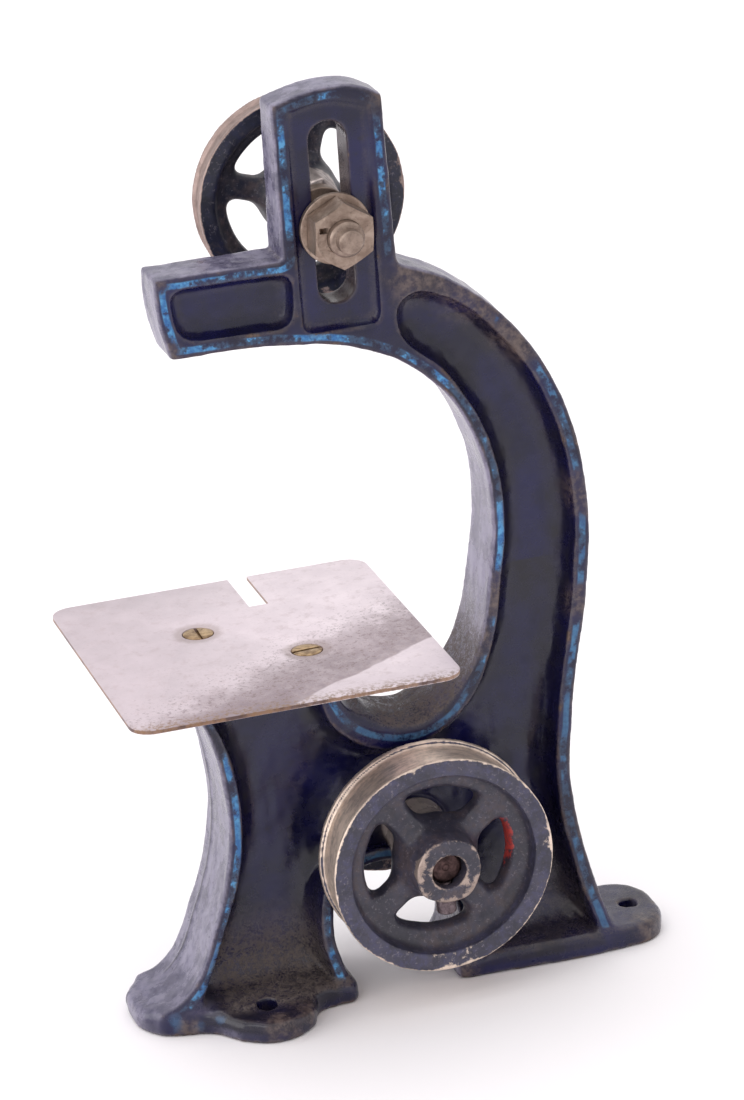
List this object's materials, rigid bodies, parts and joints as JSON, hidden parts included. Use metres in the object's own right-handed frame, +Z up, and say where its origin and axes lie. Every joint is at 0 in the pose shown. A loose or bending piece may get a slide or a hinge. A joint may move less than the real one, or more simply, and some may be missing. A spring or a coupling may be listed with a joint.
{
  "type": "toy band saw",
  "caption": "Cast C-frame toy saw with sheet table, grooved drive pulley on a lower shaft and a spoked top wheel on a stud that slides in a slotted head.",
  "frame": {"origin": "centre of the overall footprint at ground level", "axes": "+X towards the column at the rear, +Y away from the drive pulley, +Z up"},
  "size_m": [0.1298, 0.077, 0.213],
  "materials": {
    "navy_enamel": "gloss enamel on cast iron, worn at the edges, pale blue lining",
    "nickelled_sheet": "tarnished nickel plate on sheet steel",
    "brass": "dull",
    "worn_steel": "tarnished",
    "enamelled_wheel": "dark enamel with bare rims"
  },
  "bodies": {
    "frame": {"frame_casting": "navy_enamel", "table_plate": "nickelled_sheet", "table_screw_left": "brass", "table_screw_right": "brass"},
    "stud_carriage": {"upper_stud": "worn_steel", "stud_washer": "worn_steel", "stud_nut": "worn_steel", "wheel_retaining_washer": "worn_steel", "wheel_retaining_screw": "worn_steel"},
    "upper_wheel": {"upper_band_wheel": "enamelled_wheel"},
    "lower_shaft": {"drive_shaft": "worn_steel", "drive_pulley": "enamelled_wheel", "pulley_set_screw": "worn_steel", "lower_band_wheel": "enamelled_wheel", "band_wheel_set_screw": "worn_steel"}
  },
  "joints": [
    {"name": "stud_slide", "type": "slide", "parent": "frame", "child": "stud_carriage", "axis": [0, 0, 1], "range_m": [-0.0127, 0.0191]},
    {"name": "upper_wheel_spin", "type": "hinge", "parent": "stud_carriage", "child": "upper_wheel", "pos_m": [-0.003, 0, 0.1815], "axis": [0, 1, 0], "continuous": true},
    {"name": "shaft_spin", "type": "hinge", "parent": "frame", "child": "lower_shaft", "pos_m": [0.0066, 0, 0.0356], "axis": [0, 1, 0], "continuous": true}
  ]
}
